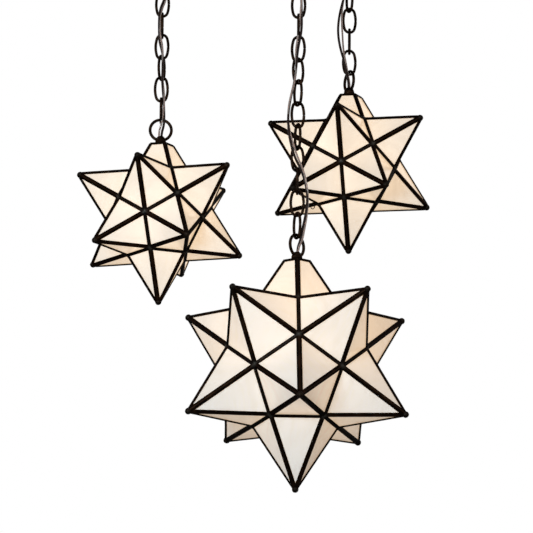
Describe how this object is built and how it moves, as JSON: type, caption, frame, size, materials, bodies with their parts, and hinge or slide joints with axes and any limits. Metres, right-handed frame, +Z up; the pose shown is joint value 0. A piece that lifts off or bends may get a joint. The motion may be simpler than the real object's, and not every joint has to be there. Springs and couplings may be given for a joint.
{
  "type": "chain-hung cluster of leaded glass star pendants",
  "caption": "Ceiling light with twelve-pointed leaded opal glass star lanterns hung on oval-link chains of stepped length from one round canopy.",
  "frame": {"origin": "centre of the mounting plane on the ceiling, at the middle of the crossbar's screw slots", "axes": "+Z up; +X along the crossbar; the longest chain hangs on the -Y side; the picture looks along +Y turned 14.25 degrees"},
  "size_m": [0.5056, 0.5168, 0.8646],
  "materials": {
    "dark_bronze": "aged bronze patina with warm highlights",
    "plated_steel": "zinc plated, satin",
    "opal_glass": "streaky opal glass",
    "bulb_glass": "frosted bulb glass",
    "socket_porcelain": "glazed porcelain",
    "cord_cover": "insulated wires, dark and clear",
    "connector_plastic": "moulded"
  },
  "bodies": {
    "canopy": {"canopy_pan": "dark_bronze", "crossbar": "plated_steel", "canopy_studs": "plated_steel", "stud_nuts": "plated_steel", "canopy_cap_nuts": "dark_bronze", "canopy_nuts": "plated_steel", "wire_connectors": "connector_plastic", "front_canopy_loop": "dark_bronze", "left_canopy_loop": "dark_bronze", "right_canopy_loop": "dark_bronze"},
    "front_top_link": {"front_top_link": "dark_bronze"},
    "front_chain": {"front_chain": "dark_bronze", "front_cord": "cord_cover"},
    "front_bottom_link": {"front_bottom_link": "dark_bronze"},
    "front_star": {"front_ring_collar": "dark_bronze", "front_threaded_tube": "plated_steel", "front_lock_nut": "plated_steel", "front_top_plate": "dark_bronze", "front_star_frame": "dark_bronze", "front_star_glass": "opal_glass", "front_socket": "socket_porcelain", "front_bulb_base": "plated_steel", "front_bulb_glass": "bulb_glass", "front_hinge_pin": "plated_steel"},
    "front_door": {"front_door_frame": "dark_bronze", "front_door_glass": "opal_glass"},
    "left_top_link": {"left_top_link": "dark_bronze"},
    "left_chain": {"left_chain": "dark_bronze", "left_cord": "cord_cover"},
    "left_bottom_link": {"left_bottom_link": "dark_bronze"},
    "left_star": {"left_ring_collar": "dark_bronze", "left_threaded_tube": "plated_steel", "left_lock_nut": "plated_steel", "left_top_plate": "dark_bronze", "left_star_frame": "dark_bronze", "left_star_glass": "opal_glass", "left_socket": "socket_porcelain", "left_bulb_base": "plated_steel", "left_bulb_glass": "bulb_glass", "left_hinge_pin": "plated_steel"},
    "left_door": {"left_door_frame": "dark_bronze", "left_door_glass": "opal_glass"},
    "right_top_link": {"right_top_link": "dark_bronze"},
    "right_chain": {"right_chain": "dark_bronze", "right_cord": "cord_cover"},
    "right_bottom_link": {"right_bottom_link": "dark_bronze"},
    "right_star": {"right_ring_collar": "dark_bronze", "right_threaded_tube": "plated_steel", "right_lock_nut": "plated_steel", "right_top_plate": "dark_bronze", "right_star_frame": "dark_bronze", "right_star_glass": "opal_glass", "right_socket": "socket_porcelain", "right_bulb_base": "plated_steel", "right_bulb_glass": "bulb_glass", "right_hinge_pin": "plated_steel"},
    "right_door": {"right_door_frame": "dark_bronze", "right_door_glass": "opal_glass"}
  },
  "joints": [
    {"name": "front_top_swing", "type": "hinge", "parent": "canopy", "child": "front_top_link", "pos_m": [0, -0.1616, -0.0615], "axis": [0.9692, -0.2462, 0], "range_deg": [-15, 15], "deforming": ["front_cord"]},
    {"name": "front_chain_swing", "type": "hinge", "parent": "front_top_link", "child": "front_chain", "pos_m": [0, -0.1616, -0.09302], "axis": [0.2462, 0.9692, 0], "range_deg": [-8, 8], "deforming": ["front_cord"]},
    {"name": "front_link_twist", "type": "hinge", "parent": "front_chain", "child": "front_bottom_link", "pos_m": [0, -0.1616, -0.4754], "axis": [0, 0, 1], "range_deg": [-18, 18], "deforming": ["front_cord"]},
    {"name": "front_star_swing", "type": "hinge", "parent": "front_bottom_link", "child": "front_star", "pos_m": [0, -0.1616, -0.50902], "axis": [-0.2377, 0.9713, 0], "range_deg": [-15, 15], "deforming": ["front_cord"]},
    {"name": "front_door_hinge", "type": "hinge", "parent": "front_star", "child": "front_door", "pos_m": [0.09132, -0.12189, -0.6916], "axis": [0.3392, -0.7801, -0.5257], "range_deg": [0, 100]},
    {"name": "left_top_swing", "type": "hinge", "parent": "canopy", "child": "left_top_link", "pos_m": [-0.13995, 0.0808, -0.0615], "axis": [0.9692, -0.2462, 0], "range_deg": [-15, 15], "deforming": ["left_cord"]},
    {"name": "left_chain_swing", "type": "hinge", "parent": "left_top_link", "child": "left_chain", "pos_m": [-0.13995, 0.0808, -0.09302], "axis": [0.2462, 0.9692, 0], "range_deg": [-8, 8], "deforming": ["left_cord"]},
    {"name": "left_link_twist", "type": "hinge", "parent": "left_chain", "child": "left_bottom_link", "pos_m": [-0.13995, 0.0808, -0.2514], "axis": [0, 0, 1], "range_deg": [-18, 18], "deforming": ["left_cord"]},
    {"name": "left_star_swing", "type": "hinge", "parent": "left_bottom_link", "child": "left_star", "pos_m": [-0.13995, 0.0808, -0.28502], "axis": [0.2462, 0.9692, 0], "range_deg": [-15, 15], "deforming": ["left_cord"]},
    {"name": "left_door_hinge", "type": "hinge", "parent": "left_star", "child": "left_door", "pos_m": [-0.08567, 0.13071, -0.4231], "axis": [0.5758, -0.6262, -0.5257], "range_deg": [0, 100]},
    {"name": "right_top_swing", "type": "hinge", "parent": "canopy", "child": "right_top_link", "pos_m": [0.13995, 0.0808, -0.0615], "axis": [0.9692, -0.2462, 0], "range_deg": [-15, 15], "deforming": ["right_cord"]},
    {"name": "right_chain_swing", "type": "hinge", "parent": "right_top_link", "child": "right_chain", "pos_m": [0.13995, 0.0808, -0.09302], "axis": [-0.2036, 0.979, 0], "range_deg": [-8, 8], "deforming": ["right_cord"]},
    {"name": "right_link_twist", "type": "hinge", "parent": "right_chain", "child": "right_bottom_link", "pos_m": [0.13995, 0.0808, -0.1554], "axis": [0, 0, 1], "range_deg": [-18, 18], "deforming": ["right_cord"]},
    {"name": "right_star_swing", "type": "hinge", "parent": "right_bottom_link", "child": "right_star", "pos_m": [0.13995, 0.0808, -0.18902], "axis": [0.9992, -0.0393, 0], "range_deg": [-15, 15], "deforming": ["right_cord"]},
    {"name": "right_door_hinge", "type": "hinge", "parent": "right_star", "child": "right_door", "pos_m": [0.10275, 0.14446, -0.3271], "axis": [0.7344, 0.4292, -0.5257], "range_deg": [0, 100]}
  ]
}
